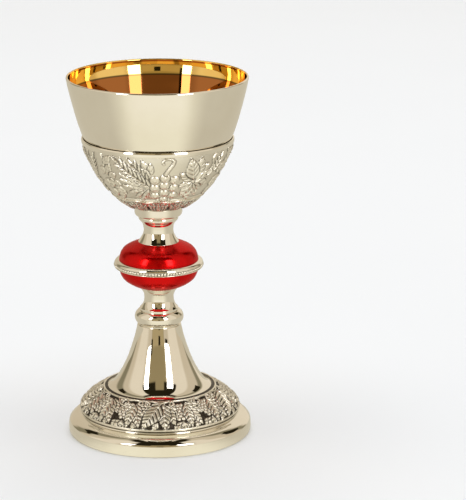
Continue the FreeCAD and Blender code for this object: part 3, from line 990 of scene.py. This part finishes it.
class Surroundings(Nodes):
    """Colour by bearing from the front and by height above the horizon, painted in layers, in degrees."""

    def __init__(self, tree, place, base):
        super().__init__(tree)
        split = self.node("ShaderNodeSeparateXYZ")
        self.join(place, split.inputs["Vector"])
        x, y, z = split.outputs
        front = self.reckon("MULTIPLY", y, -1.0)
        self.bearing = self.reckon("MULTIPLY", self.reckon("ARCTAN2", x, front), 180 / math.pi)
        self.height = self.reckon("MULTIPLY", self.reckon("ARCSINE", z), 180 / math.pi)
        squares = self.reckon("MULTIPLY", x, x), self.reckon("MULTIPLY", y, y)
        self.distance = self.reckon("SQRT", self.reckon("ADD", *squares))
        self.colour = base

    def between(self, value, low, high, soft):
        """1 between low and high, with soft edges outside."""
        rising = self.ramp(value, low - soft, low, 0.0, 1.0, "SMOOTHSTEP")
        falling = self.ramp(value, high, high + soft, 1.0, 0.0, "SMOOTHSTEP")
        return self.reckon("MULTIPLY", rising, falling)

    def paint(self, share, colour):
        self.colour = self.blend(share, self.colour, colour)

    def panel(self, bearings, heights, colour, soft):
        across = self.between(self.bearing, *bearings, soft)
        up = self.between(self.height, *heights, soft)
        self.paint(self.reckon("MULTIPLY", across, up), colour)


def light_the_studio():
    """The room that the metal mirrors: cream walls, an olive one behind the camera, and a dark ceiling."""
    world = bpy.data.worlds.new("studio")
    world.use_nodes = True
    bpy.context.scene.world = world
    tree = world.node_tree
    direction = tree.nodes.new("ShaderNodeTexCoord").outputs["Generated"]
    room = Surroundings(tree, direction, CREAM)
    any_height = (-90, 90)
    for bearings, heights, colour, soft in (
            # walls
            ((-90, -62), any_height, PALE, 14),
            ((48, 84), any_height, PALE, 10),
            ((-134, -122), any_height, SHADE, 9),
            ((126, 133), any_height, SHADE, 8),
            ((142, 178), any_height, PALE, 8),
            # the wall behind the camera, and the camera
            ((-33, 19), any_height, OLIVE, 5),
            ((-33, 19), (5, 15), OLIVE_LIGHT, 2),
            ((-4, 4), (8, 15.5), BLACK, 0.5),
            # the ceiling, and what hangs low from it in front and at the back
            ((-180, 180), (74, 90), BLACK, 5),
            ((-54, 52), (41, 90), BLACK, 3),
            ((-12, 12), (36, 52), OLIVE, 4),
            ((-137, -120), (34, 46), BLACK, 2),
            ((114, 130), (28, 45), BLACK, 2),
            # low dark shapes beside the camera
            ((-36, -31), (10, 17), BLACK, 1.5),
            ((27, 37), (10, 17), BLACK, 1.5)):
        room.panel(bearings, heights, colour, soft)
    tree.links.new(room.colour, tree.nodes["Background"].inputs["Color"])


def glowing(name):
    """A material that only glows, its node tree, and the socket for its colour."""
    material = bpy.data.materials.new(name)
    material.use_nodes = True
    tree = material.node_tree
    glow = tree.nodes.new("ShaderNodeEmission")
    tree.links.new(glow.outputs["Emission"], tree.nodes["Material Output"].inputs["Surface"])
    return material, tree, glow.inputs["Color"]


def glowing_wall(name, bearings, heights, away, colour, parts=12):
    """An upright wall that bends round the chalice at a distance and glows evenly."""
    low, high = heights
    turn = np.radians(np.linspace(*bearings, parts + 1))
    foot = np.stack([away * np.sin(turn), -away * np.cos(turn), np.full(parts + 1, low)], axis=1)
    head = foot + np.array([0, 0, high - low])
    faces = [(k, k + 1, k + parts + 2, k + parts + 1) for k in range(parts)]
    wall = mesh_object(name, np.concatenate([foot, head]), faces)
    material, _, socket = glowing(name)
    socket.default_value = colour + (1.0,)
    wall.data.materials.append(material)
    return wall


def seen_only(shown, by_camera=False, by_metal=False):
    """Show a stage piece to the camera alone, or to the metal's mirroring alone."""
    shown.visible_camera = by_camera
    shown.visible_glossy = by_metal
    shown.visible_diffuse = False
    shown.visible_shadow = False
    shown.visible_transmission = False


def mirrored_table():
    """What the metal mirrors in place of the white table: a warm paper that glows, its painted light
    brightest in front and far off.
    """
    material, tree, socket = glowing("glowing_warm_paper")
    place = tree.nodes.new("ShaderNodeTexCoord").outputs["Object"]
    paper = Surroundings(tree, place, PAPER)
    # painted light: the paper glows brighter in front and far off
    paper.paint(paper.between(paper.bearing, -28, 28, soft=45), PAPER_IN_FRONT)
    ahead = paper.between(paper.bearing, -25, 25, soft=25)
    beyond = paper.between(paper.distance, 0.34, 9, soft=0.12)
    paper.paint(paper.reckon("MULTIPLY", ahead, beyond), PAPER_FAR)
    tree.links.new(paper.colour, socket)
    just_below = -0.0005
    seen_only(stage_plane("mirrored_table", just_below, material), by_metal=True)


def set_the_stage():
    """A white table and a pale wall for the camera, and for the metal a glowing paper of painted light and
    two bright panels.
    """
    table = stage_plane("table", 0.0, plain_stage("table", TABLE_WHITE, spread=0.01))
    table.visible_glossy = False
    mirrored_table()
    light_the_studio()
    for name, bearings, heights in (
            ("softbox_left", (-49, -36), (0.155, 0.47)), ("softbox_right", (24, 42), (0.15, 0.46))):
        seen_only(glowing_wall(name, bearings, heights, SOFTBOX_AWAY, SOFTBOX), by_metal=True)
    wall = glowing_wall("backdrop", (0, 360), (0.0, BACKDROP_HEIGHT), BACKDROP_AWAY, BACKDROP, 72)
    seen_only(wall, by_camera=True)


def hang_the_lamp():
    lamp = bpy.data.lights.new("overhead", "AREA")
    lamp.shape = "DISK"
    lamp.size = LAMP_SIZE
    lamp.energy = LAMP_WATTS
    lamp.color = LAMP_COLOUR
    overhead = bpy.data.objects.new("overhead", lamp)
    overhead.location = LAMP_PLACE
    overhead.visible_glossy = False
    bpy.context.scene.collection.objects.link(overhead)


def set_the_camera():
    lens = bpy.data.cameras.new("camera")
    lens.sensor_width = SENSOR_WIDTH
    lens.lens = FOCAL_LENGTH
    lens.clip_start = 0.05
    camera = bpy.data.objects.new("camera", lens)
    camera.location = CAMERA_PLACE
    tilt, turn = 90 - CAMERA_LOOKS_DOWN, -CAMERA_LOOKS_RIGHT
    camera.rotation_euler = (math.radians(tilt), 0.0, math.radians(turn))
    bpy.context.scene.collection.objects.link(camera)
    bpy.context.scene.camera = camera


set_the_stage()
hang_the_lamp()
set_the_camera()
bpy.context.scene.view_settings.view_transform = "Standard"
bpy.context.scene.view_settings.look = "None"
